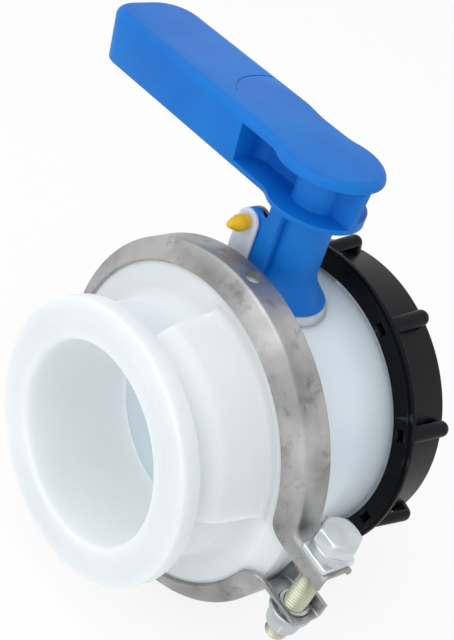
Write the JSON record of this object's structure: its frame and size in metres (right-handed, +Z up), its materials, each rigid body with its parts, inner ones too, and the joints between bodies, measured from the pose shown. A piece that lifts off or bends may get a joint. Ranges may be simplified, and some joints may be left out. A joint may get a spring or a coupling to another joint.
{
  "type": "container tank valve",
  "caption": "Plastic butterfly tank valve with a weld-on neck, a bolted V-band clamp, a sealed quarter-turn lever and a screw cap on its outlet.",
  "frame": {"origin": "middle of the inlet bore's mouth, on the weld face of the neck", "axes": "+X along the flow towards the outlet cap, +Z up the spindle, +Y along the closed lever's grip"},
  "size_m": [0.1139, 0.1878, 0.1633],
  "materials": {
    "natural_pe": "translucent natural polyethylene, soft gloss",
    "seal_rubber": "black seal rubber",
    "stainless_band": "rolled stainless sheet, handled",
    "zinc_steel": "bright zinc plate",
    "white_pe": "moulded white polyethylene, glossy",
    "disc_plastic": "moulded white plastic",
    "spindle_steel": "turned stainless steel",
    "blue_plastic": "moulded blue plastic, fine grain",
    "yellow_plastic": "moulded yellow plastic",
    "black_plastic": "moulded black plastic, satin"
  },
  "bodies": {
    "valve": {"weld_neck": "natural_pe", "neck_gasket": "seal_rubber", "clamp_ring": "stainless_band", "clinch_nut": "zinc_steel", "valve_body": "white_pe", "gland_bush": "white_pe", "lower_pivot": "disc_plastic", "lower_oring": "seal_rubber", "retaining_clip": "spindle_steel", "seal_pin_head": "yellow_plastic"},
    "lever": {"lever_handle": "blue_plastic", "spindle": "spindle_steel", "spindle_orings": "seal_rubber", "disc": "disc_plastic", "disc_seal": "seal_rubber", "seal_pin_tail": "yellow_plastic"},
    "cap_seal": {"cap_gasket": "seal_rubber"},
    "cap": {"outlet_cap": "black_plastic"},
    "clamp_saddle": {"saddle_washer": "zinc_steel"},
    "clamp_screw": {"clamp_bolt": "zinc_steel"}
  },
  "joints": [
    {"name": "lever_turn", "type": "hinge", "parent": "valve", "child": "lever", "pos_m": [0.0672, 0, 0], "axis": [0, 0, -1], "range_deg": [0, 90]},
    {"name": "cap_travel", "type": "slide", "parent": "valve", "child": "cap_seal", "axis": [1, 0, 0], "range_m": [0, 0.016]},
    {"name": "cap_turn", "type": "hinge", "parent": "cap_seal", "child": "cap", "pos_m": [0.1, 0, 0], "axis": [1, 0, 0], "range_deg": [0, 720]},
    {"name": "clamp_screw_travel", "type": "slide", "parent": "valve", "child": "clamp_saddle", "axis": [0, -0.1564, 0.9877], "range_m": [0, 0.005]},
    {"name": "clamp_screw_turn", "type": "hinge", "parent": "clamp_saddle", "child": "clamp_screw", "pos_m": [0.04325, -0.07042, -0.01115], "axis": [0, -0.1564, 0.9877], "range_deg": [0, 1440]}
  ],
  "couplings": [
    {"joint": "cap_travel", "follows": "cap_turn", "m_per_rad": 0.0012732},
    {"joint": "clamp_screw_travel", "follows": "clamp_screw_turn", "m_per_rad": 0.00019894}
  ]
}
